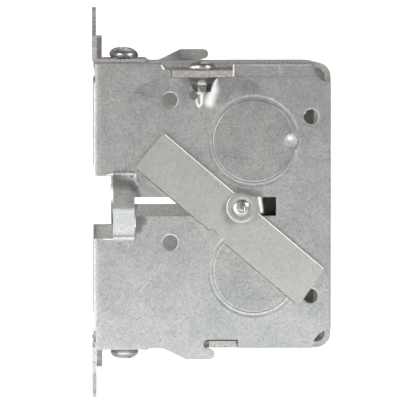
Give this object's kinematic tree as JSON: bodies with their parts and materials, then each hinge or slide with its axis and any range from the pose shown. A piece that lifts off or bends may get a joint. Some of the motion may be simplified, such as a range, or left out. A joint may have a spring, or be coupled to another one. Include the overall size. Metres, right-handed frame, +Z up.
{
  "type": "gangable old-work switch box",
  "caption": "Sheet-steel box that holds one wiring device in an existing wall, with hooked-on side plates, slotted plaster ears and sliding swing bars that grip the wall from behind.",
  "frame": {"origin": "centre of the box's front opening, in the plane of the wall's face, where the backs of the plaster ears rest", "axes": "+X points from the room into the wall, +Z is up, and the right-hand side as seen from the room faces -Y"},
  "size_m": [0.0642, 0.0678, 0.1068],
  "materials": {
    "galvanised_sheet": "mottled hot-dip zinc, satin, with fine grain and light scratches",
    "clamp_bar": "smooth warm-grey zinc, satin",
    "zinc_clip": "bright zinc plate, semi-gloss",
    "zinc_fastener": "bright zinc plate, glossy"
  },
  "bodies": {
    "box": {"box_body": "galvanised_sheet", "side_plate_right": "galvanised_sheet", "side_plate_left": "galvanised_sheet", "ear_screw_top_right": "zinc_fastener", "ear_screw_top_left": "zinc_fastener", "ear_screw_bottom_right": "zinc_fastener", "ear_screw_bottom_left": "zinc_fastener", "gang_screw_right": "zinc_fastener", "gang_screw_left": "zinc_fastener", "knockout_upper_right": "galvanised_sheet", "knockout_lower_right": "galvanised_sheet", "knockout_upper_left": "galvanised_sheet", "knockout_lower_left": "galvanised_sheet", "knockout_top": "galvanised_sheet", "knockout_bottom": "galvanised_sheet", "knockout_back": "galvanised_sheet"},
    "upper_ear": {"ear_top": "galvanised_sheet"},
    "lower_ear": {"ear_bottom": "galvanised_sheet"},
    "right_clip": {"bar_clip_right": "zinc_clip", "pivot_rivet_right": "zinc_clip"},
    "left_clip": {"bar_clip_left": "zinc_clip", "pivot_rivet_left": "zinc_clip"},
    "right_bar": {"swing_bar_right": "clamp_bar"},
    "left_bar": {"swing_bar_left": "clamp_bar"}
  },
  "joints": [
    {"name": "upper_ear_slide", "type": "slide", "parent": "box", "child": "upper_ear", "axis": [-1, 0, 0], "range_m": [-0.0035, 0.0035]},
    {"name": "lower_ear_slide", "type": "slide", "parent": "box", "child": "lower_ear", "axis": [-1, 0, 0], "range_m": [-0.0035, 0.0035]},
    {"name": "right_clip_slide", "type": "slide", "parent": "box", "child": "right_clip", "axis": [-1, 0, 0], "range_m": [0, 0.0175]},
    {"name": "left_clip_slide", "type": "slide", "parent": "box", "child": "left_clip", "axis": [-1, 0, 0], "range_m": [0, 0.0175]},
    {"name": "right_bar_swing", "type": "hinge", "parent": "right_clip", "child": "right_bar", "pos_m": [0.0391, -0.0257, -0.00046], "axis": [0, 1, 0], "range_deg": [0, 50]},
    {"name": "left_bar_swing", "type": "hinge", "parent": "left_clip", "child": "left_bar", "pos_m": [0.0391, 0.0257, 0.00046], "axis": [0, -1, 0], "range_deg": [0, 40]}
  ],
  "couplings": [
    {"joint": "right_bar_swing", "follows": "right_clip_slide", "rad_per_m": 49.86},
    {"joint": "left_bar_swing", "follows": "left_clip_slide", "rad_per_m": 39.89}
  ]
}
